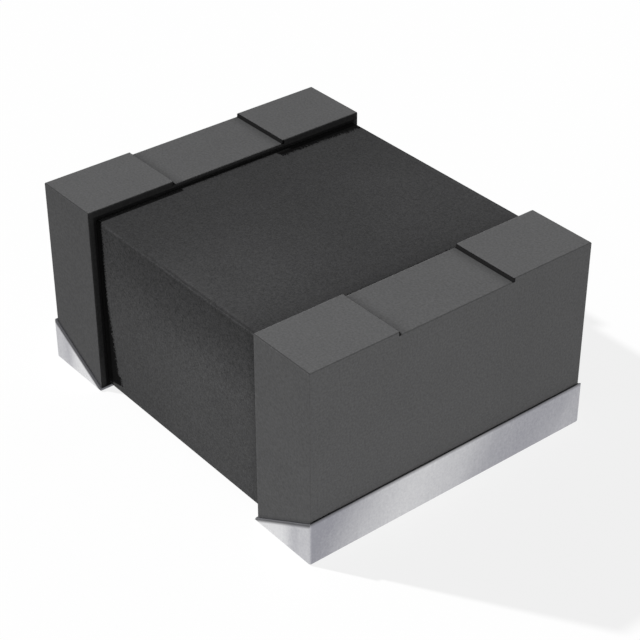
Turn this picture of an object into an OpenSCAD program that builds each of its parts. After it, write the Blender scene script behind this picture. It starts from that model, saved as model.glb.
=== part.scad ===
// Resin-shielded surface-mount inductor: a ferrite drum core lying on its side, with one
// enamelled wire wound on its post, a block of magnetic resin between its flanges, and
// plated feet. The origin is the middle of the footprint on the board, +X runs along the
// length from flange to flange, +Y across the width, and +Z up. Millimetres.

/* [Overall size] */
// Length over the plated ends
chip_length = 3.15; // [2.8:0.05:4]
// Width over the plated sides
chip_width = 2.55; // [2.2:0.05:3.4]
// Height from the board to the top of the flanges
chip_height = 1.55; // [1.4:0.05:2.2]

/* [Drum core] */
// Thickness of each flange
flange_thickness = 0.585; // [0.4:0.005:0.75]
// Bevel on the core's outer edges
core_bevel = 0.008; // [0.004:0.001:0.015]
// Width of the recess in the top of each flange
recess_width = 1.01; // [0.6:0.01:1.5]
// Depth of that recess
recess_depth = 0.027; // [0.01:0.001:0.06]
// Width of the winding post, across the part
post_width = 1.5; // [1.3:0.01:1.7]
// Height of the winding post
post_height = 0.72; // [0.6:0.01:0.84]

/* [Winding] */
// Diameter of the wire over its enamel
wire_diameter = 0.155; // [0.1:0.005:0.18]
// Gap between one turn and the next
turn_gap = 0.013; // [0.008:0.001:0.03]
// Least gap between the winding and a flange
end_gap = 0.04; // [0.02:0.005:0.1]
// Gap between the wire and what it lies on or in
wire_clearance = 0.008; // [0.004:0.001:0.015]
// Bend radius of the leads, on the wire's centre line
lead_bend = 0.2; // [0.15:0.01:0.22]

/* [Resin shield] */
// Drop from the flange tops to the resin's top
shield_drop = 0.0625; // [0.04:0.0025:0.1]
// Step from the flange sides in to the resin's sides
shield_inset = 0.055; // [0.03:0.005:0.1]
// Step from the core's foot up to the resin's bottom
shield_foot = 0.036; // [0.02:0.002:0.06]
// Bevel along the resin's long edges
shield_bevel = 0.012; // [0.005:0.001:0.02]
// Resin left under each lead
lead_cover = 0.02; // [0.01:0.005:0.04]

/* [Terminals] */
// Thickness of the fired and plated metal
plate_thickness = 0.021; // [0.012:0.001:0.03]
// Height of the metal on the outer end, from the board
plate_rise = 0.356; // [0.2:0.002:0.5]
// Bevel on the metal's outer edges
plate_bevel = 0.014; // [0.006:0.001:0.02]
// Width of the soldered channel under each flange
channel_width = 0.24; // [0.22:0.01:0.34]
// Length of that channel from the flange's inner face
channel_length = 0.42; // [0.3:0.01:0.48]
// Solder above the wire and past its end
solder_cover = 0.02; // [0.01:0.005:0.04]

/* [Hidden] */
$fn = 64;

// Facets round the wire, fewer because it has so many bends
wire_facets = 20;

// How far a cutter runs past the face that it cuts
overcut = 0.5;

// The core, inside its plating
core_length = chip_length - 2 * plate_thickness;
core_width = chip_width - 2 * plate_thickness;
core_height = chip_height - plate_thickness;
core_foot = plate_thickness;
core_middle = core_foot + core_height / 2;
window_end = core_length / 2 - flange_thickness;

// The wire on the post
wire_radius = wire_diameter / 2;
turn_radius = post_height / 2 + wire_clearance + wire_radius;
turn_straight = (post_width - post_height) / 2;
turn_pitch = wire_diameter + turn_gap;
winding_room = 2 * (window_end - end_gap) - wire_diameter;
turn_count = floor(winding_room / turn_pitch + 1 / 2);
first_turn = -(turn_count - 1 / 2) * turn_pitch / 2;
run_height = core_middle - turn_radius;

// Each time it crosses the post, the wire goes half a pitch sideways by a bend, a straight
// slope and a bend back. The slope has the small angle of a 7-24-25 triangle, shallow enough
// to keep neighbouring crossings apart, and it takes two thirds of the way. The sine and
// cosine of that angle are round, so that the pieces meet end to end.
slope_angle = atan2(7, 24);
crossing_shift = turn_pitch / 2;
slope_shift = crossing_shift * 2 / 3;
slope_length = slope_shift / sin(slope_angle);
slope_bend = (crossing_shift - slope_shift) / 2 / (1 - cos(slope_angle));
crossing_length = 2 * slope_bend * sin(slope_angle) + slope_length * cos(slope_angle);
crossing_start = turn_straight - crossing_length / 2;

// The lead drops from the winding to the height of the solder by two equal bends, through
// the large angle of a 3-4-5 triangle, then turns to the flange. It keeps lead_cover above
// the resin's bottom.
shield_bottom = core_foot + shield_foot;
lead_height = shield_bottom + lead_cover + wire_radius;
drop_angle = atan2(4, 3);
drop_bend = (run_height - lead_height) / 2 / (1 - cos(drop_angle));
drop_length = 2 * drop_bend * sin(drop_angle);
last_turn = -first_turn;
lead_y = drop_length + lead_bend - turn_straight;
lead_end = window_end + channel_length - solder_cover;

// The soldered channel
channel_top = lead_height + wire_radius + solder_cover;

// The free way round the wire
bore_radius = wire_radius + wire_clearance;

ferrite_grey = "#55585a";
resin_black = "#3a3b3c";
tin_silver = "#c4c5c9";
solder_silver = "#a9abb0";
enamel_copper = "#b4623a";

// A block standing on z = 0 with all its edges bevelled
module bevelled_block(length, width, height, bevel) {
    intersection() {
        translate([0, width / 2, height / 2])
            rotate([90, 0, 0])
                linear_extrude(width)
                    bevelled_outline(length, height, bevel);
        translate([-length / 2, 0, height / 2])
            rotate([90, 0, 90])
                linear_extrude(length)
                    bevelled_outline(width, height, bevel);
        linear_extrude(height)
            bevelled_outline(length, width, bevel);
    }
}

// A rectangle about the origin with its corners cut at 45 degrees
module bevelled_outline(width, height, bevel) {
    x = width / 2;
    y = height / 2;
    polygon([
        [x - bevel, -y], [x, bevel - y], [x, y - bevel], [x - bevel, y],
        [bevel - x, y], [-x, y - bevel], [-x, bevel - y], [bevel - x, -y]
    ]);
}

// The outside of the ferrite before its window, recesses and channels are cut
module core_block() {
    translate([0, 0, core_foot])
        bevelled_block(core_length, core_width, core_height, core_bevel);
}

// An oval rod along X round the post's axis, margin proud of the post all round
module oval_rod(length, margin) {
    radius = post_height / 2 + margin;
    translate([-length / 2, 0, core_middle])
        rotate([90, 0, 90])
            union() {
                for (side = [-1, 1])
                    translate([side * turn_straight, 0, 0])
                        cylinder(r = radius, h = length);
                translate([-turn_straight, -radius, 0])
                    cube([2 * turn_straight, 2 * radius, length]);
            }
}

// The channel under the right flange from z = foot up, with margin added to its sides,
// roof and end
module channel(margin, foot) {
    translate([window_end, -lead_y - channel_width / 2 - margin, foot])
        cube([
            channel_length + margin,
            channel_width + 2 * margin,
            channel_top + margin - foot
        ]);
}

// The same thing again, half a turn round the upright axis
module both_ends() {
    children();
    rotate([0, 0, 180])
        children();
}

// A round rod bent through an angle. It starts at the origin along +X and bends towards +Y.
module bend(rod_radius, bend_radius, angle) {
    translate([0, bend_radius, 0])
        rotate([0, 0, -90])
            rotate_extrude(angle = angle)
                translate([bend_radius, 0])
                    circle(r = rod_radius);
}

// A straight round rod from the origin along +X
module straight(radius, length) {
    rotate([0, 90, 0])
        cylinder(r = radius, h = length);
}

// A round rod carried sideways: a bend from +X towards +Y, a straight slope, and a bend back
// to +X. With no slope, the two bends meet.
module sideways_step(rod_radius, bend_radius, angle, slope) {
    bend(rod_radius, bend_radius, angle);
    if (slope > 0)
        translate([bend_radius * sin(angle), bend_radius * (1 - cos(angle)), 0])
            rotate([0, 0, angle])
                straight(rod_radius, slope);
    translate([
        2 * bend_radius * sin(angle) + slope * cos(angle),
        2 * bend_radius * (1 - cos(angle)) + slope * sin(angle),
        0
    ])
        rotate([0, 0, 180])
            bend(rod_radius, bend_radius, angle);
}

// The wire's way under the post, from [0, turn_straight, 0] to
// [crossing_shift, -turn_straight, 0]
module crossing() {
    translate([0, turn_straight, 0])
        rotate([0, 0, -90]) {
            straight(wire_radius, crossing_start);
            translate([crossing_start, 0, 0])
                sideways_step(wire_radius, slope_bend, slope_angle, slope_length);
            translate([crossing_start + crossing_length, crossing_shift, 0])
                straight(wire_radius, crossing_start);
        }
}

// Half a turn round one side of the post, at x = 0
module half_turn(side) {
    translate([0, side * turn_straight, core_middle])
        rotate([0, 90, 0])
            rotate([0, 0, side > 0 ? 0 : 180])
                rotate_extrude(angle = 180)
                    translate([turn_radius, 0])
                        circle(r = wire_radius);
}

// The right lead's route as a round rod: down from the last turn to the height of the
// solder, round towards the flange, and along the channel as far as x = far_end
module lead(radius, far_end) {
    translate([last_turn, turn_straight, run_height])
        rotate([-90, 0, -90])
            sideways_step(radius, drop_bend, drop_angle, 0);
    translate([last_turn, turn_straight - drop_length, lead_height])
        rotate([0, 0, -90])
            bend(radius, lead_bend, 90);
    translate([last_turn + lead_bend, -lead_y, lead_height])
        straight(radius, far_end - last_turn - lead_bend);
}

// A slot with upright sides, from the winding's tunnel down round the right lead and along
// it to the flange
module lead_slot() {
    slot_floor = lead_height - bore_radius;
    slot_height = core_middle - slot_floor;
    bend_y = turn_straight - drop_length;
    translate([last_turn - bore_radius, bend_y, slot_floor])
        cube([2 * bore_radius, drop_length + bore_radius, slot_height]);
    translate([last_turn + lead_bend, bend_y, slot_floor])
        rotate([0, 0, 180])
            rotate_extrude(angle = 90)
                translate([lead_bend - bore_radius, 0])
                    square([2 * bore_radius, slot_height]);
    translate([last_turn + lead_bend, -lead_y - bore_radius, slot_floor])
        cube([window_end + overcut - last_turn - lead_bend, 2 * bore_radius, slot_height]);
}

module drum_core() {
    color(ferrite_grey) {
        difference() {
            core_block();
            translate([-window_end, -core_width / 2 - overcut, core_foot - overcut])
                cube([2 * window_end, core_width + 2 * overcut, core_height + 2 * overcut]);
            translate([-chip_length, -recess_width / 2, chip_height - recess_depth])
                cube([2 * chip_length, recess_width, overcut]);
            both_ends()
                channel(plate_thickness, core_foot - overcut);
        }
        oval_rod(core_length - flange_thickness, 0);
    }
}

module shield_resin() {
    block_height = chip_height - shield_drop - shield_bottom;
    block_width = core_width - 2 * shield_inset;
    wound_depth = 2 * wire_clearance + wire_diameter;
    color(resin_black)
        difference() {
            translate([-window_end, 0, shield_bottom + block_height / 2])
                rotate([90, 0, 90])
                    linear_extrude(2 * window_end)
                        bevelled_outline(block_width, block_height, shield_bevel);
            oval_rod(2 * window_end + 2 * overcut, wound_depth);
            both_ends()
                lead_slot();
        }
}

module winding() {
    $fn = wire_facets;
    color(enamel_copper) {
        for (turn = [0 : turn_count - 1])
            translate([first_turn + turn * turn_pitch, 0, 0]) {
                half_turn(-1);
                translate([0, 0, core_middle + turn_radius])
                    rotate([180, 0, 0])
                        crossing();
                translate([crossing_shift, 0, 0])
                    half_turn(1);
            }
        for (turn = [0 : turn_count - 2])
            translate([first_turn + crossing_shift + turn * turn_pitch, 0, run_height])
                crossing();
        both_ends()
            lead(wire_radius, lead_end);
    }
}

// The plated metal on the right flange's foot
module terminal() {
    color(tin_silver)
        difference() {
            union() {
                difference() {
                    intersection() {
                        bevelled_block(chip_length, chip_width, chip_height, plate_bevel);
                        plated_wedge();
                    }
                    core_block();
                }
                channel(plate_thickness, 0);
            }
            channel(0, -overcut);
        }
}

// How far the plating reaches, seen from the side: a wedge that rises to the outer end
module plated_wedge() {
    translate([0, chip_width, 0])
        rotate([90, 0, 0])
            linear_extrude(2 * chip_width)
                polygon([
                    [window_end, -overcut],
                    [window_end, plate_thickness],
                    [chip_length / 2, plate_rise],
                    [chip_length / 2 + overcut, plate_rise],
                    [chip_length / 2 + overcut, -overcut]
                ]);
}

// The solder in the right flange's channel, round the end of the wire
module solder_joint() {
    color(solder_silver)
        difference() {
            channel(0, 0);
            lead(bore_radius, lead_end + wire_clearance);
        }
}

module left_terminal() {
    rotate([0, 0, 180])
        terminal();
}

module right_terminal() {
    terminal();
}

module left_solder_joint() {
    rotate([0, 0, 180])
        solder_joint();
}

module right_solder_joint() {
    solder_joint();
}

drum_core();
shield_resin();
winding();
left_terminal();
right_terminal();
left_solder_joint();
right_solder_joint();
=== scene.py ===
"""Looks for a resin-shielded surface-mount inductor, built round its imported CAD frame.

The drum core, the resin and both terminals are made here with rounded edges and take the
place of their CAD nodes. The winding and the solder stay CAD nodes and get their finishes.
Shapes are worked out in millimetres, and a finished mesh is written in metres.
"""
import logging
import math
from dataclasses import dataclass
from enum import Enum
from functools import cached_property
from typing import Any, Callable, Sequence

import bmesh
import bpy
from bpy.types import ColorRamp, Material, Mesh, Node, NodeSocket, Object, World
from mathutils import Euler, Matrix, Vector, noise


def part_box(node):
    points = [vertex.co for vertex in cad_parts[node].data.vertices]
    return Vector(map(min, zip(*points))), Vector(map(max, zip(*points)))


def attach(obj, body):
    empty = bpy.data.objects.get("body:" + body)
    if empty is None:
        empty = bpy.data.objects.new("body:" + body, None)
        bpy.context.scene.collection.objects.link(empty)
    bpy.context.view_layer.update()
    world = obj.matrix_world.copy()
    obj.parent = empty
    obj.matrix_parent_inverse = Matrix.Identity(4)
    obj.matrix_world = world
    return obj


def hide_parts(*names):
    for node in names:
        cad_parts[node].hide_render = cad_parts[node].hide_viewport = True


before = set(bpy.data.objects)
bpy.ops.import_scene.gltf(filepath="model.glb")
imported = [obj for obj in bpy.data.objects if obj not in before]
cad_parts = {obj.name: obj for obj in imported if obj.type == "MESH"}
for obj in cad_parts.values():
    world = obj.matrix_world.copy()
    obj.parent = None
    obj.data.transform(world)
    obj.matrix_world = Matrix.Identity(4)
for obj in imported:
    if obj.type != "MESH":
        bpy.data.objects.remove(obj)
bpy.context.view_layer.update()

LOG = logging.getLogger("inductor")
MM = 0.001
SHARP_DEGREES = 35
FACE_WEIGHT = 100
MATT_SPECULAR = 0.02
WHITE = (1.0, 1.0, 1.0)

Colour = tuple[float, float, float]
Point = tuple[float, float]
# Where a soft step starts and where it ends
Span = tuple[float, float]


class Axis(Enum):
    """The direction that an outline is pushed along, with the order of its coordinates."""

    X = (2, 0, 1)
    Z = (0, 1, 2)

    def place(self, across: float, up: float, along: float) -> Vector:
        """Turns an outline's point and its place along the axis into a point in space."""
        values = (across, up, along)
        return Vector(values[index] for index in self.value)


class Cut(Enum):
    """How one shape changes another."""

    ADD = "UNION"
    REMOVE = "DIFFERENCE"
    KEEP = "INTERSECT"


# Shader graphs


class Value:
    """A number that varies over a surface. An expression on it adds its Math nodes."""

    def __init__(self, graph: "Graph", socket: NodeSocket) -> None:
        """Wraps the socket of a graph that gives the number."""
        self.graph = graph
        self.socket = socket

    def _math(self, operation: str, *terms: "Value | float") -> "Value":
        """Adds one Math node and wraps its output."""
        node = self.graph.node("ShaderNodeMath", {"operation": operation}, dict(enumerate(terms)))
        return Value(self.graph, node.outputs[0])

    def __add__(self, other: "Value | float") -> "Value":
        """Adds."""
        return self._math("ADD", self, other)

    def __radd__(self, other: float) -> "Value":
        """Adds to a plain number."""
        return self._math("ADD", other, self)

    def __sub__(self, other: "Value | float") -> "Value":
        """Subtracts."""
        return self._math("SUBTRACT", self, other)

    def __rsub__(self, other: float) -> "Value":
        """Subtracts from a plain number."""
        return self._math("SUBTRACT", other, self)

    def __mul__(self, other: "Value | float") -> "Value":
        """Multiplies."""
        return self._math("MULTIPLY", self, other)

    def __rmul__(self, other: float) -> "Value":
        """Multiplies a plain number."""
        return self._math("MULTIPLY", other, self)

    def __truediv__(self, other: "Value | float") -> "Value":
        """Divides."""
        return self._math("DIVIDE", self, other)

    def __rtruediv__(self, other: float) -> "Value":
        """Divides a plain number."""
        return self._math("DIVIDE", other, self)

    def at_least(self, other: "Value | float") -> "Value":
        """Gives the larger of the two."""
        return self._math("MAXIMUM", self, other)

    def size(self) -> "Value":
        """Gives the number without its sign."""
        return self._math("ABSOLUTE", self)

    def step(self, start: float, end: float) -> "Value":
        """Rises smoothly from 0 at start to 1 at end.

        Args:
            start: Where the result leaves 0.
            end: Where it reaches 1. It may be less than start.

        Returns:
            A value from 0 to 1.
        """
        settings = {"interpolation_type": "SMOOTHSTEP", "clamp": True}
        flip = end < start
        inputs = {0: self, 1: min(start, end), 2: max(start, end), 3: float(flip), 4: float(not flip)}
        return Value(self.graph, self.graph.node("ShaderNodeMapRange", settings, inputs).outputs[0])

    def between(self, low: float, high: float, soft: float) -> "Value":
        """Gives 1 from low to high and 0 outside.

        Args:
            low: Where the stretch of 1 starts.
            high: Where it ends.
            soft: How far outside of it the value takes to fall to 0.

        Returns:
            A value from 0 to 1.
        """
        return self.step(low - soft, low) * self.step(high + soft, high)

    def swing(self, amount: float) -> "Value":
        """Gives a pattern's change from 0.5, times an amount."""
        return (self - 0.5) * amount

    def spread(self, half: float) -> "Value":
        """Gives the share of the way from -half to half, which is 0.5 in the middle."""
        return self / (2 * half) + 0.5

    def to_tone(self, tone: "Value | float") -> "Value":
        """Gives 1 where this mask is 0, and the tone where it is 1."""
        return 1 - self * (1 - tone)

    def raised(self, least: float) -> "Value":
        """Gives the least where this mask is 0, and 1 where it is 1."""
        return least + (1 - least) * self


class Graph:
    """The shader graph of one material or of the world."""

    def __init__(self, owner: Material | World) -> None:
        """Clears the nodes of the material or world that owns the graph."""
        owner.use_nodes = True
        self.owner = owner
        self.tree = owner.node_tree
        self.tree.nodes.clear()

    def node(
        self, kind: str, settings: dict[str, Any] | None = None, inputs: dict[str | int, Any] | None = None
    ) -> Node:
        """Adds a node, sets it up and then fills its sockets.

        Args:
            kind: The node's type, such as "ShaderNodeMath".
            settings: Its properties. "stops" gives the place and grey of each stop of a ramp.
            inputs: A number, colour, link or Value for each socket, by its name or place.

        Returns:
            The node.
        """
        made = self.tree.nodes.new(kind)
        for name, setting in (settings or {}).items():
            if name == "stops":
                self._set_stops(made.color_ramp, setting)
            else:
                setattr(made, name, setting)
        for key, given in (inputs or {}).items():
            source = given.socket if isinstance(given, Value) else given
            if isinstance(source, NodeSocket):
                self.tree.links.new(source, made.inputs[key])
            else:
                made.inputs[key].default_value = source
        return made

    @staticmethod
    def _set_stops(ramp: ColorRamp, stops: Sequence[Point]) -> None:
        """Gives a ramp its stops, each a place and a grey, and a smooth curve through them."""
        while len(ramp.elements) > 1:
            ramp.elements.remove(ramp.elements[-1])
        for number, (place, grey) in enumerate(stops):
            stop = ramp.elements[0] if number == 0 else ramp.elements.new(place)
            stop.position = place
            stop.color = (grey, grey, grey, 1)
        ramp.interpolation = "CARDINAL"

    def value(self, node: Node, output: str | int = 0) -> Value:
        """Wraps one output of a node."""
        return Value(self, node.outputs[output])

    def parts(self, vector: NodeSocket) -> list[Value]:
        """Splits a vector into its three numbers."""
        node = self.node("ShaderNodeSeparateXYZ", None, {0: vector})
        return [self.value(node, axis) for axis in range(3)]

    @cached_property
    def point(self) -> NodeSocket:
        """The point on the object, in millimetres."""
        return self.scaled(self.node("ShaderNodeTexCoord").outputs["Object"], 1 / MM)

    @cached_property
    def place(self) -> list[Value]:
        """The point's X, Y and Z."""
        return self.parts(self.point)

    @cached_property
    def facing(self) -> list[Value]:
        """The way that the surface faces, before any bump, as its X, Y and Z."""
        return self.parts(self.node("ShaderNodeNewGeometry").outputs["True Normal"])

    def noise(
        self, size: float, detail: float = 2, rough: float = 0.5, stretch: Colour | None = None
    ) -> Value:
        """Adds a noise pattern over the object.

        Args:
            size: How far apart its blobs are, in millimetres.
            detail: How many finer patterns it adds.
            rough: How strong those are.
            stretch: What the point's X, Y and Z are multiplied by, which draws the pattern out.

        Returns:
            A value round 0.5.
        """
        point = self.point
        if stretch:
            product = self.node("ShaderNodeVectorMath", {"operation": "MULTIPLY"}, {0: point, 1: stretch})
            point = product.outputs[0]
        inputs = {"Vector": point, "Scale": 1 / size, "Detail": detail, "Roughness": rough}
        return self.value(self.node("ShaderNodeTexNoise", None, inputs))

    def ramp(self, place: Value, stops: Sequence[Point]) -> Value:
        """Reads a smooth curve through the stops, each a place from 0 to 1 and a value."""
        return self.value(self.node("ShaderNodeValToRGB", {"stops": stops}, {"Fac": place}))

    def scaled(self, vector: NodeSocket, by: Value | float) -> NodeSocket:
        """Multiplies a vector or a colour by a number."""
        inputs = {0: vector, "Scale": by}
        return self.node("ShaderNodeVectorMath", {"operation": "SCALE"}, inputs).outputs[0]

    def blend(self, share: Value, first: Any, second: Any) -> NodeSocket:
        """Mixes two colours, with the second's share given."""
        settings = {"data_type": "RGBA", "clamp_factor": True}
        return self.node("ShaderNodeMix", settings, {0: share, 6: first, 7: second}).outputs[2]

    def bump(self, height: Value, depth: float, strength: float = 0.5) -> NodeSocket:
        """Turns a height from 0 to 1 into a normal, for a relief that is depth millimetres deep."""
        inputs = {"Height": height, "Distance": depth * MM, "Strength": strength}
        return self.node("ShaderNodeBump", None, inputs).outputs[0]

    def surface(self, shader: NodeSocket) -> None:
        """Ends a material's graph in a shader."""
        self.node("ShaderNodeOutputMaterial", None, {"Surface": shader})

    def principled(self, inputs: dict[str | int, Any]) -> Material:
        """Ends a material's graph in a Principled shader, and gives the material."""
        self.surface(self.node("ShaderNodeBsdfPrincipled", None, inputs).outputs[0])
        return self.owner


def opaque(colour: Colour, times: float = 1) -> tuple[float, float, float, float]:
    """Gives a colour with its alpha, made brighter or darker."""
    red, green, blue = (part * times for part in colour)
    return red, green, blue, 1.0


@dataclass(frozen=True)
class Block:
    """An upright box, by its lowest and highest corners in millimetres."""

    low: Vector
    high: Vector

    @classmethod
    def of_node(cls, node: str) -> "Block":
        """Gives the box of a CAD node."""
        low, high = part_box(node)
        return cls(low / MM, high / MM)


# Finishes


@dataclass(frozen=True)
class Rim:
    """The plating's upper rim, which rises evenly from a foot's inner end to its outer end."""

    inner_end: float
    outer_end: float
    low: float
    high: float

    def below(self, graph: Graph) -> Value:
        """Gives how far the point lies below the rim's height, in millimetres."""
        slope = (self.high - self.low) / (self.outer_end - self.inner_end)
        return (graph.place[0].size() - self.inner_end) * slope + self.low - graph.place[2]


@dataclass(frozen=True)
class Ferrite:
    """Pressed and fired ferrite: matt dark grey with a fine grain. Painted shade lies on its steps, in its
    recess, along its edges, beside the resin, above the plating and towards its far end, and painted light
    on its inner faces.
    """

    top: float
    recess_half_width: float
    recess_depth: float
    rim: Rim
    shield: Block
    colour: Colour = (0.1165, 0.1165, 0.118)
    contrast: float = 0.24
    grain: float = 0.016
    grain_share: float = 1.5
    cloud: float = 0.35
    cloud_share: float = 0.2
    relief: float = 0.001
    roughness: float = 0.78
    rough_grain: float = 0.2
    # Painted shade, darker towards the far end and most on the sides.
    far_shade: float = 0.05
    far_side_shade: float = 0.075
    far_shade_span: Span = (0.6, -0.6)
    # Darker towards the tops of the sides, and towards +Y.
    brow: float = 0.035
    brow_reach: float = 0.6
    cross_start: float = 1.015
    cross_drift: float = 0.05
    # Painted dark lines along the rounded outer edges of the flanges' tops.
    edge_tone: float = 0.5
    edge_grain: float = 0.6
    edge_turn: Span = (0.15, 0.4)
    edge_slope: Span = (0.35, 0.93)
    edge_soft: float = 0.06
    end_edge_share: float = 0.2
    end_edge_reach: float = 0.3
    # Painted shade on the steps' walls and on the recess floor, deepest beside the steps.
    step_tone: float = 0.16
    step_soft: float = 0.15
    lip_share: float = 0.8
    floor_tone: float = 0.965
    floor_slope: Span = (0.8, 0.95)
    corner_tone: float = 0.7
    corner_reach: float = 0.15
    # Painted shade on the ferrite just above the plating's rim.
    rim_tone: float = 0.8
    rim_reach: float = 0.035
    # Painted shade on the inner faces close to the resin, and painted light on them beside the resin's
    # sides.
    inner_face: Span = (0.006, 0.002)
    contact_shade_tone: float = 0.45
    contact_shade_span: Span = (0.02, 0.008)
    inner_lift: float = 0.27
    inner_span: Span = (0.01, 0.03)
    foot_lift: float = 0.7
    foot_span: Span = (0.4, 0.1)

    def recess_shade(self, graph: Graph) -> Value:
        """Gives how much light, from 0 to 1, the recess and the steps at its ends keep, as painted shade on
        the steps' walls and on the recess floor, deepest beside the steps.
        """
        _, y, z = graph.place
        end = self.recess_half_width
        floor = self.top - self.recess_depth
        soft = self.recess_depth * self.step_soft
        lip = soft * self.lip_share
        wall = y.size().between(end - 2 * soft, end + 3 * soft, soft)
        wall = wall * z.between(floor - soft, self.top - lip, lip)
        low = z.step(floor + 2 * soft, floor + soft) * graph.facing[2].step(*self.floor_slope)
        corner = y.size().step(end - self.corner_reach, end) * low
        light = wall.to_tone(self.step_tone) * low.to_tone(self.floor_tone)
        return light * (corner * corner).to_tone(self.corner_tone)

    def edge_dark_lines(self, graph: Graph, grain: Value) -> Value:
        """Gives how much light, from 0 to 1, the rounded outer edges along the flanges' tops keep, painted
        as grainy dark lines.
        """
        facing_x, facing_y, facing_z = graph.facing
        outwards = graph.place[0].size() - self.shield.high.x
        end = facing_x.size().step(*self.edge_turn) * outwards.step(0, self.end_edge_reach)
        side = facing_y.size().step(*self.edge_turn)
        edge = facing_z.between(*self.edge_slope, self.edge_soft) * side.at_least(end * self.end_edge_share)
        return 1 - edge * (1 - self.edge_tone) * (1 + grain.swing(self.edge_grain))

    def inner_faces(self, graph: Graph) -> Value:
        """Gives the tone, round 1, of the flanges' inner faces.

        They are painted lighter beside the resin's sides, most of all at the foot, and painted
        dark as shade close to the resin.
        """
        x, y, z = graph.place
        high = self.shield.high
        inner = (x.size() - high.x).step(*self.inner_face)
        beyond = y.size() - high.y
        lift = z.step(*self.foot_span) * self.foot_lift + self.inner_lift
        contact_shade = beyond.at_least(z - high.z).step(*self.contact_shade_span)
        return (1 + inner * beyond.step(*self.inner_span) * lift) * (inner * contact_shade).to_tone(self.contact_shade_tone)

    def material(self) -> Material:
        """Makes the material."""
        graph = Graph(bpy.data.materials.new("ferrite"))
        x, y, z = graph.place
        grain = graph.noise(self.grain, detail=3, rough=0.6)
        cloud = graph.noise(self.cloud)
        share = 0.5 + grain.swing(self.grain_share) + cloud.swing(self.cloud_share)
        tones = [opaque(self.colour, 1 + change) for change in (-self.contrast, self.contrast)]
        sideways = graph.facing[1].size()
        light = self.recess_shade(graph) * self.edge_dark_lines(graph, grain) * self.inner_faces(graph)
        # Painted shade, darker towards the far end and most on the sides. The sides are also darker towards
        # their tops, and all faces towards +Y.
        light = light * (1 - x.step(*self.far_shade_span) * (self.far_shade + sideways * self.far_side_shade))
        light = light * (1 - z.step(self.top - self.brow_reach, self.top) * sideways * self.brow)
        half = self.shield.high.y
        light = light * (self.cross_start - y.step(-half, half) * self.cross_drift)
        # Painted shade just above the plating's rim.
        light = light * self.rim.below(graph).step(-self.rim_reach, 0).to_tone(self.rim_tone)
        return graph.principled({
            "Base Color": graph.scaled(graph.blend(share, *tones), light),
            "Roughness": self.roughness + grain.swing(self.rough_grain),
            "Specular IOR Level": MATT_SPECULAR,
            "Normal": graph.bump(grain, self.relief),
        })


@dataclass(frozen=True)
class FlangeShadows:
    """The painted shadows, dark and ragged, on the resin at the flanges, and the painted shade beside them.

    At one end of each long side the painted shadow is wider, with a bulge near its foot, and grows
    downwards. At the other end of the top it grows towards one corner.
    """

    body: Block
    upright: Span = (0.4, 0.6)
    width: float = 0.035
    side_ends: Span = (0, 0.1)
    side_foot: Span = (0.08, 0.12)
    side_width: float = 0.075
    side_growth: float = 0.125
    growth_top: float = 0.9
    bulge: float = 0.028
    bulge_span: Span = (0.13, 0.19)
    bulge_soft: float = 0.02
    top_end: Span = (0, -0.1)
    top_start: float = 0.42
    top_soft: float = 0.01
    top_width: float = 0.06
    top_growth: float = 0.033
    ragged: float = 0.085
    soft: float = 0.004
    tone: float = 0.25
    wide_tone: float = 0.045
    near_flange_share: float = 0.4
    near_flange_span: Span = (0.03, 0.06)
    shade_reach: float = 0.19
    shade_span: Span = (-0.3, 0.3)
    shade_top_share: float = 0.6
    near_tone: float = 0.74
    far_tone: float = 0.93

    def light(self, graph: Graph, grain: Value) -> Value:
        """Gives how much light the resin keeps in the painted shadows at the flanges and in the painted
        shade beside them.

        Args:
            graph: The material's graph.
            grain: The resin's grain, which makes the painted shadows' edges ragged.

        Returns:
            A value from 0 to 1.
        """
        x, y, z = graph.place
        upright = graph.facing[1].size().step(*self.upright)
        side = (x * y).step(*self.side_ends) * upright * z.step(*self.side_foot)
        side_width = (self.growth_top - z).at_least(0) * self.side_growth + self.side_width
        side_width = side_width + z.between(*self.bulge_span, self.bulge_soft) * self.bulge
        along = y - self.top_start
        top = x.step(*self.top_end) * along.step(-self.top_soft, self.top_soft) * (1 - upright)
        width = self.width * (1 - side) + side_width * side + grain.swing(self.ragged)
        width = width + (along * self.top_growth + self.top_width) * top
        # Painted shadow beside the flanges, and painted shade a little further out.
        depth = self.body.high.x - x.size()
        shadow_band = (depth - width).step(self.soft, -self.soft)
        deep = depth.step(*self.near_flange_span).raised(self.near_flange_share) * (side + top)
        shade = depth.step(self.shade_reach, 0) * upright.raised(self.shade_top_share)
        shade_tone = self.far_tone + x.step(*self.shade_span) * (self.near_tone - self.far_tone)
        return shadow_band.to_tone(self.tone - deep * (self.tone - self.wide_tone)) * shade.to_tone(shade_tone)


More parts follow.
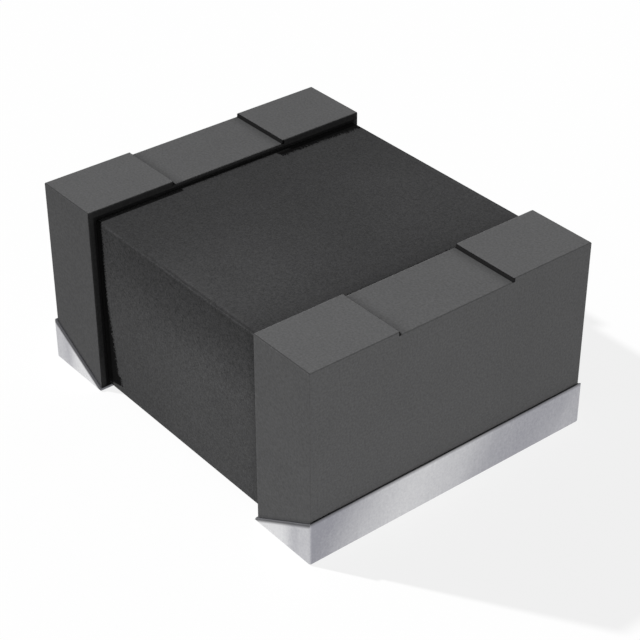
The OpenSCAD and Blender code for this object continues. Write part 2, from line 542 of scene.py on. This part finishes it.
@dataclass(frozen=True)
class MagneticResin:
    """Resin full of magnetic powder: near black, with a top that is smoother than its sides. Its sides are
    painted lighter than its top, as light falls, and it bears painted sheen and painted shadows at the
    flanges.

    Painted dark lines and painted highlights run along its long upper edges.
    """

    body: Block
    flange_shadows: FlangeShadows
    # Painted light and shade: the sides lighter than the top, darker near their tops, and a little darker
    # towards their bottoms.
    top_colour: Colour = (0.0408, 0.0408, 0.0415)
    side_colour: Colour = (0.0745, 0.0745, 0.0755)
    side_turn: Span = (0.3, 0.8)
    upward: Span = (0.5, 1)
    upper_share: float = 0.7
    upper_start: float = 0.75
    low_share: float = 0.07
    # Painted sheen over the top and the upper sides.
    painted_sheen_along: Sequence[Point] = ((0, 0), (0.2, 0.15), (0.45, 0.75), (0.65, 1), (0.82, 0.85), (1, 0.3))
    painted_sheen_across: Sequence[Point] = (
        (0, 0.41), (0.25, 0.34), (0.45, 0.17), (0.6, 0.14), (0.78, 0.22), (0.92, 0.21), (1, 0.18),
    )
    painted_side_sheen: float = 0.18
    painted_side_sheen_span: Span = (-1.2, 0.4)
    contrast: float = 0.92
    grain: float = 0.018
    grain_share: float = 1.2
    speck: float = 0.009
    speck_share: float = 0.6
    speck_ragged: float = 0.8
    cloud: float = 0.5
    cloud_share: float = 0.22
    side_grain: float = 0.35
    side_grain_span: Span = (0.65, 1.05)
    relief: float = 0.0017
    relief_speck: float = 0.3
    roughness: float = 0.72
    rough_grain: float = 0.25
    # Painted dark lines and painted highlights along the long upper edges, as shade and light on the
    # rounding.
    line_reach: float = 0.06
    line_span: Span = (-0.7, 0.1)
    line_share: float = 0.3
    painted_edge_lines: Sequence[Point] = (
        (0, 0.5), (0.24, 0.58), (0.33, 0.46), (0.41, 0.17), (0.47, 0.2), (0.56, 0.6), (0.64, 0.56),
        (0.74, 0.42), (1, 0.5),
    )

    def tone(self, graph: Graph) -> Value:
        """Gives the resin's tone, round 1: its painted sheen and shade, and the painted lines along its
        edges.
        """
        x, y, z = graph.place
        high = self.body.high
        along = x / high.x
        upwards = graph.facing[2].step(*self.upward)
        length = graph.ramp(x.spread(high.x), self.painted_sheen_along)
        width = graph.ramp(y.spread(high.y), self.painted_sheen_across)
        side = (1 - upwards) * along.step(*self.painted_side_sheen_span) * z.step(high.z, self.upper_start)
        low = (1 - upwards) * z.step(self.upper_start, 0) * self.low_share
        over = (y.size() - high.y) + (high.z - z)
        lines = graph.ramp(over.spread(self.line_reach), self.painted_edge_lines) - 0.5
        lines = lines * along.step(*self.line_span).raised(self.line_share)
        return (1 + length * width * upwards) * (1 + side * self.painted_side_sheen) * (1 - low) * (1 + lines)

    def material(self) -> Material:
        """Makes the material."""
        graph = Graph(bpy.data.materials.new("magnetic_resin"))
        z = graph.place[2]
        side = 1 - graph.facing[2].step(*self.side_turn)
        grain = graph.noise(self.grain, detail=3, rough=0.65)
        speck = graph.noise(self.speck, detail=1)
        cloud = graph.noise(self.cloud)
        # The sides are painted lighter than the top, less so near their tops.
        lit = side * (1 - z.step(self.upper_start, self.body.high.z) * self.upper_share)
        colour = graph.blend(lit, opaque(self.top_colour), opaque(self.side_colour))
        coarse = 1 + side * z.step(*self.side_grain_span) * self.side_grain
        share = (grain.swing(self.grain_share) + speck.swing(self.speck_share)) * coarse
        share = share + cloud.swing(self.cloud_share)
        light = (1 + share * self.contrast) * self.tone(graph)
        light = light * self.flange_shadows.light(graph, grain + speck.swing(self.speck_ragged))
        relief = grain * (1 - self.relief_speck) + speck * self.relief_speck
        return graph.principled({
            "Base Color": graph.scaled(colour, light),
            "Roughness": self.roughness + grain.swing(self.rough_grain),
            "Specular IOR Level": MATT_SPECULAR,
            "Normal": graph.bump(relief, self.relief),
        })


@dataclass(frozen=True)
class TinPlating:
    """Satin tin with a fine grain. Painted light lies on it: bands of painted reflection across its faces,
    painted highlights up its corners and lighter ends, and a rim painted dark as shade and a dark
    reflection.
    """

    rim: Rim
    half_width: float
    light: Colour = (0.7, 0.7, 0.71)
    dark: Colour = (0.31, 0.31, 0.345)
    # The rim is painted dark, as shade and a dark reflection, fading out below it.
    rim_shade_colour: Colour = (0.075, 0.075, 0.08)
    grain: float = 0.016
    grain_share: float = 0.6
    brush: Colour = (1, 1, 0.3)
    brush_share: float = 0.2
    cloud: float = 0.5
    wander: float = 0.06
    relief: float = 0.001
    relief_grain: float = 0.6
    roughness: float = 0.42
    rough_grain: float = 0.2
    slant: float = 0.6
    side_turn: Span = (0.55, 0.85)
    # Painted highlight up the rounded upright corners.
    corner_turn: Span = (0.5, 0.75)
    corner_soft: float = 0.2
    corner_share: float = 0.38
    # How far below the rim the painted dark fades, on the ends and on the sides.
    end_rim: Span = (-0.008, 0.034)
    side_rim: Span = (-0.002, 0.04)
    # Painted light: the end faces are made lighter.
    end_lift: float = 0.075
    # Painted shade on the rounding that turns up from the sides to the rim.
    crest_tone: float = 0.62
    crest_up: Span = (0.25, 0.6)
    crest_side: Span = (0.1, 0.3)
    crest_reach: Span = (0.1, 0.05)
    # Bands of painted reflection, the sides lighter towards their inner ends.
    end_reflection_bands: Sequence[Point] = (
        (0.04, 0.0), (0.09, 0.06), (0.15, 0.24), (0.23, 0.5), (0.36, 0.77), (0.47, 0.75), (0.6, 0.54),
        (0.68, 0.28), (0.74, 0.18), (0.82, 0.13), (0.9, 0.16), (0.96, 0.22), (1, 0.33),
    )
    side_reflection_bands: Sequence[Point] = (
        (0, 1), (0.44, 1), (0.58, 0.78), (0.71, 0.4), (0.82, 0.5), (0.92, 0.52), (1, 0.5),
    )

    def bands(self, graph: Graph, sideways: Value) -> Value:
        """Gives the bands of painted reflection, which slant across the ends and stand upright on the sides.

        Args:
            graph: The material's graph.
            sideways: 1 on the sides, and 0 on the ends.

        Returns:
            A value from 0, dark, to 1, light.
        """
        x, y, z = graph.place
        wander = graph.noise(self.cloud).swing(self.wander)
        leaning = y + (self.rim.high - z) * self.slant
        end = graph.ramp(leaning.spread(self.half_width) + wander, self.end_reflection_bands)
        length = self.rim.outer_end - self.rim.inner_end
        side = graph.ramp((x.size() - self.rim.inner_end) / length + wander, self.side_reflection_bands)
        return end * (1 - sideways) + side * sideways

    def material(self) -> Material:
        """Makes the material."""
        graph = Graph(bpy.data.materials.new("tin_plating"))
        brushed = graph.noise(self.grain, stretch=self.brush)
        grain = graph.noise(self.grain, detail=3, rough=0.6)
        facing_x, facing_y, facing_z = (part.size() for part in graph.facing)
        sideways = facing_y.step(*self.side_turn)
        # Painted highlight up the rounded upright corners.
        corner = facing_x.between(*self.corner_turn, self.corner_soft)
        corner = corner * facing_y.between(*self.corner_turn, self.corner_soft)
        share = self.bands(graph, sideways).at_least(corner * self.corner_share)
        share = share + brushed.swing(self.brush_share) + grain.swing(self.grain_share)
        colour = graph.blend(share, opaque(self.dark), opaque(self.light))
        # The rim is painted dark, as shade and a dark reflection.
        below = self.rim.below(graph)
        side_lit = below.step(*self.side_rim)
        lit = below.step(*self.end_rim) * (1 - sideways) + side_lit * side_lit * sideways
        # Painted shade on the rounding up to the rim.
        crest = facing_z.step(*self.crest_up) * facing_y.step(*self.crest_side)
        crest = crest * below.step(*self.crest_reach)
        # Painted light on the end faces.
        light = crest.to_tone(self.crest_tone) * (1 + facing_x * self.end_lift)
        relief = brushed * (1 - self.relief_grain) + grain * self.relief_grain
        return graph.principled({
            "Base Color": graph.scaled(graph.blend(lit, opaque(self.rim_shade_colour), colour), light),
            "Metallic": 1.0,
            "Roughness": self.roughness + grain.swing(self.rough_grain),
            "Normal": graph.bump(relief, self.relief),
        })


@dataclass(frozen=True)
class EnamelledCopper:
    """Copper wire under a clear amber enamel."""

    colour: Colour = (0.55, 0.2, 0.08)
    dark: Colour = (0.4, 0.12, 0.045)
    cloud: float = 0.12
    roughness: float = 0.3
    rough_cloud: float = 0.1

    def material(self) -> Material:
        """Makes the material."""
        graph = Graph(bpy.data.materials.new("enamelled_copper"))
        cloud = graph.noise(self.cloud)
        return graph.principled({
            "Base Color": graph.blend(cloud, opaque(self.dark), opaque(self.colour)),
            "Metallic": 0.9,
            "Roughness": self.roughness + cloud.swing(self.rough_cloud),
            "Coat Weight": 0.8,
            "Coat Roughness": 0.12,
        })


@dataclass(frozen=True)
class Solder:
    """Satin tin solder, slightly crystalline."""

    light: Colour = (0.56, 0.56, 0.58)
    dark: Colour = (0.42, 0.42, 0.45)
    grain: float = 0.05
    cloud_share: float = 0.5
    roughness: float = 0.36
    rough_cloud: float = 0.2
    relief: float = 0.002
    relief_strength: float = 0.4

    def material(self) -> Material:
        """Makes the material."""
        graph = Graph(bpy.data.materials.new("solder"))
        inputs = {"Vector": graph.point, "Scale": 1 / self.grain}
        cells = graph.value(graph.node("ShaderNodeTexVoronoi", None, inputs))
        cloud = graph.noise(self.grain)
        share = cells + cloud.swing(self.cloud_share)
        return graph.principled({
            "Base Color": graph.blend(share, opaque(self.light), opaque(self.dark)),
            "Metallic": 1.0,
            "Roughness": self.roughness + cloud.swing(self.rough_cloud),
            "Normal": graph.bump(cloud, self.relief, self.relief_strength),
        })


# Shapes


@dataclass
class Shape:
    """A closed mesh that is being made, in millimetres."""

    mesh: Mesh

    @classmethod
    def prism(cls, outline: Sequence[Point], axis: Axis, start: float, end: float) -> "Shape":
        """Pushes an outline along an axis.

        Args:
            outline: The outline's points, in order round it.
            axis: The axis that it is pushed along.
            start: Where along the axis it starts.
            end: Where it ends.

        Returns:
            The prism.
        """
        work = bmesh.new()
        rings = [[work.verts.new(axis.place(*point, at)) for point in outline] for at in (start, end)]
        count = len(outline)
        work.faces.new(rings[0])
        work.faces.new(rings[1])
        for index in range(count):
            after = (index + 1) % count
            work.faces.new((rings[0][index], rings[0][after], rings[1][after], rings[1][index]))
        return cls.from_bmesh(work)

    @classmethod
    def box(cls, low: Sequence[float], high: Sequence[float]) -> "Shape":
        """Makes an upright box from its lowest and highest corners."""
        corners = [(low[0], low[1]), (high[0], low[1]), (high[0], high[1]), (low[0], high[1])]
        return cls.prism(corners, Axis.Z, low[2], high[2])

    @classmethod
    def under(
        cls, xs: Sequence[float], ys: Sequence[float], floor: float, height: Callable[[float, float], float]
    ) -> "Shape":
        """Makes a block whose top follows a height.

        Args:
            xs: Where its grid has lines along X, in order.
            ys: Where its grid has lines along Y, in order.
            floor: The Z of its flat bottom.
            height: Gives the Z of the top at an X and a Y.

        Returns:
            The block.
        """
        work = bmesh.new()
        tops = [[work.verts.new((x, y, height(x, y))) for y in ys] for x in xs]
        for near, far in zip(tops, tops[1:]):
            for row in range(len(ys) - 1):
                work.faces.new((near[row], far[row], far[row + 1], near[row + 1]))
        rim = [strip[0] for strip in tops] + tops[-1][1:-1]
        rim += [strip[-1] for strip in reversed(tops)] + tops[0][-2:0:-1]
        feet = [work.verts.new((vert.co.x, vert.co.y, floor)) for vert in rim]
        for index in range(len(rim)):
            after = (index + 1) % len(rim)
            work.faces.new((rim[index], feet[index], feet[after], rim[after]))
        work.faces.new(feet)
        return cls.from_bmesh(work)

    @classmethod
    def from_bmesh(cls, work: bmesh.types.BMesh) -> "Shape":
        """Turns a bmesh's faces outwards and makes a shape of it. The bmesh is used up."""
        bmesh.ops.recalc_face_normals(work, faces=work.faces)
        mesh = bpy.data.meshes.new("shape")
        work.to_mesh(mesh)
        work.free()
        return cls(mesh)

    def with_modifier(self, kind: str, settings: dict[str, Any], *others: "Shape") -> "Shape":
        """Applies one modifier.

        Args:
            kind: The modifier's type, such as "BEVEL".
            settings: Its properties.
            others: A second shape that it works with, if any. All the shapes are used up.

        Returns:
            The new shape.
        """
        bodies = [bpy.data.objects.new("work", shape.mesh) for shape in (self, *others)]
        for body in bodies:
            bpy.context.scene.collection.objects.link(body)
        modifier = bodies[0].modifiers.new("work", kind)
        for name, setting in settings.items():
            setattr(modifier, name, setting)
        for body in bodies[1:]:
            modifier.object = body
        bpy.context.view_layer.update()
        evaluated = bodies[0].evaluated_get(bpy.context.evaluated_depsgraph_get())
        mesh = bpy.data.meshes.new_from_object(evaluated)
        for body in bodies:
            old = body.data
            bpy.data.objects.remove(body)
            bpy.data.meshes.remove(old)
        return Shape(mesh)

    def rounded(self, radius_at: Callable[[Vector, Vector], float], segments: int = 4) -> "Shape":
        """Rounds every edge between two faces that meet at an angle.

        Args:
            radius_at: Gives the radius of the edge that runs between two corners.
            segments: How many strips each rounding has.

        Returns:
            The new shape. This one is used up.
        """
        corners = self.mesh.vertices
        radii = [radius_at(*(corners[index].co for index in edge.vertices)) for edge in self.mesh.edges]
        weights = self.mesh.attributes.new("bevel_weight_edge", "FLOAT", "EDGE")
        width = max(radii)
        for number, radius in enumerate(radii):
            weights.data[number].value = radius / width
        settings = {
            "width": width, "segments": segments, "limit_method": "WEIGHT", "use_clamp_overlap": True,
        }
        return self.with_modifier("BEVEL", settings)

    def turned(self) -> "Shape":
        """Gives a copy, half a turn round the upright axis."""
        mesh = self.mesh.copy()
        mesh.transform(Matrix.Rotation(math.pi, 4, "Z"))
        return Shape(mesh)

    def changed(self, cut: Cut, other: "Shape") -> "Shape":
        """Adds, removes or keeps what lies in another shape. Both are used up."""
        return self.with_modifier("BOOLEAN", {"operation": cut.value, "solver": "EXACT"}, other)

    def finish(self, name: str, slot: str, nodes: Sequence[str], material: Material) -> Object:
        """Makes the shape a piece of the part.

        Args:
            name: The piece's name.
            slot: Not used.
            nodes: The CAD nodes that it stands for.
            material: Its finish.

        Returns:
            The piece, in metres, riding on the part's one body.
        """
        self.mesh.shade_smooth()
        self.mesh.set_sharp_from_angle(angle=math.radians(SHARP_DEGREES))
        mesh = self.with_modifier("WEIGHTED_NORMAL", {"keep_sharp": True, "weight": FACE_WEIGHT}).mesh
        mesh.transform(Matrix.Scale(MM, 4))
        mesh.name = name
        mesh.materials.clear()
        mesh.materials.append(material)
        piece = bpy.data.objects.new(name, mesh)
        bpy.context.scene.collection.objects.link(piece)
        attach(piece, "root")
        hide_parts(*nodes)
        LOG.info("%s: %d faces, stands for %s", name, len(mesh.polygons), ", ".join(nodes))
        return piece


# The part


@dataclass(frozen=True)
class Lead:
    """The route of the wire's right end, which the resin, the flange and the foot make way for."""

    wire_radius: float = 0.0775
    clearance: float = 0.008
    last_turn: float = 0.798
    turn_straight: float = 0.39
    bend_y: float = 0.019
    bend_radius: float = 0.2
    height: float = 0.1545
    channel_width: float = 0.24
    channel_length: float = 0.42
    channel_top: float = 0.252
    arc_steps: int = 12

    @property
    def run_y(self) -> float:
        """The Y of the wire where it goes into the flange."""
        return self.bend_y - self.bend_radius

    def slot(self, end: float, roof: float) -> Shape:
        """Gives the slot that the resin leaves round the lead, open to the winding.

        Args:
            end: The X that it runs to.
            roof: The Z that it runs up to.

        Returns:
            The slot as a shape to cut with.
        """
        half = self.wire_radius + self.clearance
        centre = self.last_turn + self.bend_radius
        sides = []
        for offset in (-half, half):
            side = [(self.last_turn + offset, self.turn_straight + half)]
            for step in range(self.arc_steps + 1):
                angle = math.pi * (1 + step / self.arc_steps / 2)
                reach = self.bend_radius - offset
                side.append((centre + reach * math.cos(angle), self.bend_y + reach * math.sin(angle)))
            side.append((end, self.run_y + offset))
            sides.append(side)
        outline = sides[0] + sides[1][::-1]
        return Shape.prism(outline, Axis.Z, self.height - half, roof)

    def channel(self, start: float, margin: float, foot: float, overrun: float = 0) -> Shape:
        """Gives the soldered channel as a block.

        Args:
            start: The X of the flange's inner face.
            margin: How much wider, longer and higher than the channel the block is.
            foot: The Z of its bottom.
            overrun: How far it runs on inwards, past the flange's inner face.

        Returns:
            The block.
        """
        half = self.channel_width / 2 + margin
        low = (start - overrun, self.run_y - half, foot)
        high = (start + self.channel_length + margin, self.run_y + half, self.channel_top + margin)
        return Shape.box(low, high)


@dataclass(frozen=True)
class Oval:
    """The winding post's outline, seen along the part."""

    width: float = 1.5
    height: float = 0.72
    middle: float = 0.7855
    steps: int = 32

    def rod(self, reach: float, margin: float) -> Shape:
        """Gives a rod of that outline.

        Args:
            reach: How far it runs to each side of the part's middle.
            margin: How far it stands proud of the post all round.

        Returns:
            The rod.
        """
        radius = self.height / 2 + margin
        straight = (self.width - self.height) / 2
        outline = []
        for side in (1, -1):
            for step in range(self.steps + 1):
                angle = math.pi * (step / self.steps - 0.5)
                across = side * (straight + radius * math.cos(angle))
                outline.append((across, self.middle + side * radius * math.sin(angle)))
        return Shape.prism(outline, Axis.X, -reach, reach)


@dataclass
class DrumCore:
    """The ferrite core: a flange at each end of an oval post, with a recess in each top."""

    body: Block
    lead: Lead
    post: Oval
    plate_thickness: float
    flange_thickness: float = 0.585
    recess_half_width: float = 0.505
    recess_depth: float = 0.027
    edge_radius: float = 0.011
    inner_radius: float = 0.015
    corner_radius: float = 0.003
    upright_share: float = 0.99
    slack: float = 0.01
    overrun: float = 0.1

    @property
    def window_end(self) -> float:
        """The X of the right flange's inner face."""
        return self.body.high.x - self.flange_thickness

    def radius_at(self, first: Vector, second: Vector) -> float:
        """Gives the radius of a flange's edge, which is sharpest up its outer corners."""
        if max(first.x, second.x) < self.window_end + self.slack:
            return self.inner_radius
        stands = abs(second.z - first.z) > self.upright_share * (second - first).length
        return self.corner_radius if stands else self.edge_radius

    def flange(self) -> Shape:
        """Makes the right flange, rounded, with the channel in its foot."""
        low, high = self.body.low, self.body.high
        dip = high.z - self.recess_depth
        half = self.recess_half_width
        outline = [
            (low.y, low.z), (high.y, low.z), (high.y, high.z), (half, high.z),
            (half, dip), (-half, dip), (-half, high.z), (low.y, high.z),
        ]
        block = Shape.prism(outline, Axis.X, self.window_end, high.x).rounded(self.radius_at)
        foot = low.z - self.overrun
        pocket = self.lead.channel(self.window_end, self.plate_thickness, foot, self.overrun)
        return block.changed(Cut.REMOVE, pocket)

    def build(self, material: Material) -> Object:
        """Makes the core's piece."""
        right = self.flange()
        left = right.turned()
        rod = self.post.rod(self.window_end + self.overrun, 0)
        core = rod.changed(Cut.ADD, right).changed(Cut.ADD, left)
        return core.finish("core", "ferrite", ["drum_core"], material)


@dataclass
class ResinShield:
    """The block of magnetic resin between the flanges, round the winding."""

    body: Block
    lead: Lead
    post: Oval
    edge_radius: float = 0.018
    foot_radius: float = 0.01
    edge_strips: int = 6
    overrun: float = 0.1

    def radius_at(self, first: Vector, second: Vector) -> float:
        """Gives the radius of an edge of the resin, which is sharper round its foot."""
        return self.foot_radius if max(first.z, second.z) < self.post.middle else self.edge_radius

    def build(self, material: Material) -> Object:
        """Makes the resin's piece."""
        block = Shape.box(self.body.low, self.body.high).rounded(self.radius_at, self.edge_strips)
        wound_depth = 2 * (self.lead.wire_radius + self.lead.clearance)
        reach = self.body.high.x + self.overrun
        block = block.changed(Cut.REMOVE, self.post.rod(reach, wound_depth))
        slot = self.lead.slot(reach, self.post.middle)
        other = slot.turned()
        block = block.changed(Cut.REMOVE, slot).changed(Cut.REMOVE, other)
        return block.finish("resin", "magnetic_resin", ["shield_resin"], material)


@dataclass
class Terminals:
    """The plated feet, whose rounded rim rises to the outer ends."""

    body: Block
    core: DrumCore
    plate_thickness: float
    edge_radius: float = 0.02
    foot_radius: float = 0.013
    rim_radius: float = 0.019
    rim_steps: int = 6
    length_steps: int = 20
    width_steps: int = 36
    waviness: float = 0.0025
    wave: float = 0.16
    overrun: float = 0.2
    spare: float = 1
    seed: Sequence[float] = (3.1, 7.7, 1.3)

    def radius_at(self, first: Vector, second: Vector) -> float:
        """Gives the radius of an edge of the metal, which is sharper round its foot."""
        return self.foot_radius if max(first.z, second.z) < self.plate_thickness else self.edge_radius

    def rim(self, x: float, y: float) -> float:
        """Gives the Z of the plating's rim, which is a little wavy and rounded to the outside."""
        low, high = self.body.low, self.body.high
        slope = (high.z - self.plate_thickness) / (high.x - low.x)
        height = self.plate_thickness + slope * (min(x, high.x) - low.x)
        height += self.waviness * noise.noise(Vector((x, y, 0)) / self.wave + Vector(self.seed))
        depth = max(0, min(high.x - x, high.y - abs(y)))
        hollow = max(0, self.rim_radius - depth)
        return height - self.rim_radius + math.sqrt(self.rim_radius**2 - hollow**2)

    def grid(self, start: float, end: float, steps: int) -> list[float]:
        """Gives grid lines from start to an outer face at end, close together near that face.

        Args:
            start: The first line.
            end: Where the outer face is.
            steps: How many wide steps there are.

        Returns:
            The lines, the last of them well outside the face.
        """
        inner = end - self.rim_radius
        wide = [start + (inner - start) * step / steps for step in range(steps)]
        turns = [math.pi / 2 * step / self.rim_steps for step in range(self.rim_steps)]
        arc = [inner + self.rim_radius * math.sin(turn) for turn in turns]
        return wide + arc + [end, end + self.overrun]

    def right(self) -> Shape:
        """Makes the right terminal."""
        low, high = self.body.low, self.body.high
        core, lead = self.core, self.core.lead
        metal = Shape.box((0, low.y, low.z), (high.x, high.y, self.spare)).rounded(self.radius_at)
        xs = self.grid(low.x, high.x, self.length_steps)
        across = self.grid(0, high.y, self.width_steps)
        ys = [-y for y in reversed(across[1:])] + across
        metal = metal.changed(Cut.KEEP, Shape.under(xs, ys, -self.overrun, self.rim))
        start, end = core.body.low, core.body.high
        inside = Shape.box((-self.spare, start.y, start.z), (end.x, end.y, 2 * self.spare))
        metal = metal.changed(Cut.REMOVE, inside.rounded(core.radius_at))
        metal = metal.changed(Cut.ADD, lead.channel(low.x, self.plate_thickness, low.z))
        return metal.changed(Cut.REMOVE, lead.channel(low.x, 0, low.z - self.overrun, self.overrun))

    def build(self, material: Material) -> list[Object]:
        """Makes the terminals' two pieces."""
        right = self.right()
        left = right.turned()
        return [
            shape.finish(f"{side}_foot", "tin_plating", [f"{side}_terminal"], material)
            for side, shape in (("right", right), ("left", left))
        ]


@dataclass
class Wiring:
    """The winding and its solder joints, which stay the CAD's own nodes."""

    copper: Material
    solder: Material

    def dress(self) -> None:
        """Gives the nodes their finishes."""
        joints = {f"{side}_solder_joint": self.solder for side in ("left", "right")}
        for node, material in {"winding": self.copper, **joints}.items():
            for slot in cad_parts[node].material_slots:
                slot.material = material
            LOG.info("%s: CAD node in %s", node, material.name)


# The studio


@dataclass(frozen=True)
class Lamp:
    """A far lamp, by where it stands and how bright it makes a white wall that faces it.

    One that isn't glossy gives its light but no highlight.
    """

    name: str
    azimuth: float
    elevation: float
    level: float
    spread: float
    glossy: bool = True

    def build(self) -> None:
        """Puts the lamp up. Azimuth 0 is -Y and 90 is +X, in degrees."""
        light = bpy.data.lights.new(self.name, "SUN")
        light.energy = self.level * math.pi
        light.angle = math.radians(self.spread)
        lamp = bpy.data.objects.new(self.name, light)
        turn, lift = math.radians(self.azimuth), math.radians(self.elevation)
        towards = Vector((math.sin(turn) * math.cos(lift), -math.cos(turn) * math.cos(lift), math.sin(lift)))
        lamp.rotation_euler = (-towards).to_track_quat("-Z", "Y").to_euler()
        lamp.visible_glossy = self.glossy
        bpy.context.scene.collection.objects.link(lamp)
        LOG.info("lamp %s", self.name)


@dataclass
class Studio:
    """The lamps, the pale room and the floor."""

    lamps: tuple[Lamp, ...] = (
        Lamp("key", -57.5, 36.4, 1.42, 2),
        Lamp("side", 90, 0, 0.635, 0.3, glossy=False),
        Lamp("back", 180, 0, 0.45, 0.3, glossy=False),
    )
    ambient: float = 0.14
    bounce: float = 0.08
    floor_colour: float = 0.97
    floor_glow: float = 0.85
    floor_half: float = 0.2
    floor_drop: float = 0.000004

    def seen_directly(self, graph: Graph) -> Value:
        """Gives 1 for the camera, a gloss or a see-through surface, and 0 for any other ray."""
        path = graph.node("ShaderNodeLightPath")
        names = ("Is Camera Ray", "Is Glossy Ray", "Is Transmission Ray")
        camera, gloss, glass = (graph.value(path, name) for name in names)
        return camera.at_least(gloss).at_least(glass)

    def build_room(self) -> None:
        """Makes the world: white to look at, and a dimmer even light on everything."""
        world = bpy.data.worlds.new("room")
        bpy.context.scene.world = world
        graph = Graph(world)
        dim = graph.node("ShaderNodeBackground", None, {"Color": opaque(WHITE), "Strength": self.ambient})
        white = graph.node("ShaderNodeBackground", None, {"Color": opaque(WHITE), "Strength": 1.0})
        inputs = {0: self.seen_directly(graph), 1: dim.outputs[0], 2: white.outputs[0]}
        mixed = graph.node("ShaderNodeMixShader", None, inputs)
        graph.node("ShaderNodeOutputWorld", None, {"Surface": mixed.outputs[0]})

    def build_floor(self) -> None:
        """Makes the pale floor, which keeps a soft shadow."""
        reach = self.floor_half
        corners = [(-reach, -reach, 0), (reach, -reach, 0), (reach, reach, 0), (-reach, reach, 0)]
        mesh = bpy.data.meshes.new("floor")
        mesh.from_pydata(corners, [], [(0, 1, 2, 3)])
        floor = bpy.data.objects.new("floor", mesh)
        floor.location.z = -self.floor_drop
        bpy.context.scene.collection.objects.link(floor)
        made = bpy.data.materials.new("floor")
        graph = Graph(made)
        pale = graph.node("ShaderNodeBsdfDiffuse", None, {"Color": opaque(WHITE, self.floor_colour)})
        glow = graph.node("ShaderNodeEmission", None, {"Strength": 1.0})
        inputs = {0: self.floor_glow, 1: pale.outputs[0], 2: glow.outputs[0]}
        seen = graph.node("ShaderNodeMixShader", None, inputs)
        grey = graph.node("ShaderNodeBsdfDiffuse", None, {"Color": opaque(WHITE, self.bounce)})
        inputs = {0: self.seen_directly(graph), 1: grey.outputs[0], 2: seen.outputs[0]}
        graph.surface(graph.node("ShaderNodeMixShader", None, inputs).outputs[0])
        mesh.materials.append(made)

    def build(self) -> None:
        """Sets the studio up."""
        for lamp in self.lamps:
            lamp.build()
        self.build_room()
        self.build_floor()
        bpy.context.scene.view_settings.view_transform = "Standard"


@dataclass(frozen=True)
class Viewpoint:
    """The camera at the photograph's angle."""

    place: Sequence[float] = (8.5927, -6.8729, 7.9806)
    turn: Sequence[float] = (0.98115, -0.00038, 0.89031)
    lens: float = 100.34
    sensor: float = 36
    nearest: float = 0.1
    farthest: float = 1000

    def build(self) -> None:
        """Makes the scene's camera."""
        data = bpy.data.cameras.new("camera")
        data.lens = self.lens
        data.sensor_width = self.sensor
        data.clip_start = self.nearest * MM
        data.clip_end = self.farthest * MM
        camera = bpy.data.objects.new("camera", data)
        camera.location = Vector(self.place) * MM
        camera.rotation_euler = Euler(self.turn)
        bpy.context.scene.collection.objects.link(camera)
        bpy.context.scene.camera = camera
        LOG.info("camera")


def main() -> None:
    """Builds the camera, the studio and the part."""
    logging.basicConfig(level=logging.INFO, format="%(name)s: %(message)s")
    Viewpoint().build()
    Studio().build()
    lead = Lead()
    post = Oval()
    foot = Block.of_node("right_terminal")
    core_block = Block.of_node("drum_core")
    plate_thickness = core_block.low.z - foot.low.z
    core = DrumCore(core_block, lead, post, plate_thickness)
    resin_block = Block.of_node("shield_resin")
    rim = Rim(foot.low.x, foot.high.x, plate_thickness, foot.high.z)
    ferrite = Ferrite(core_block.high.z, core.recess_half_width, core.recess_depth, rim, resin_block)
    core.build(ferrite.material())
    resin = MagneticResin(resin_block, FlangeShadows(resin_block))
    ResinShield(resin_block, lead, post).build(resin.material())
    Terminals(foot, core, plate_thickness).build(TinPlating(rim, foot.high.y).material())
    Wiring(EnamelledCopper().material(), Solder().material()).dress()


if __name__ == "__main__":
    main()
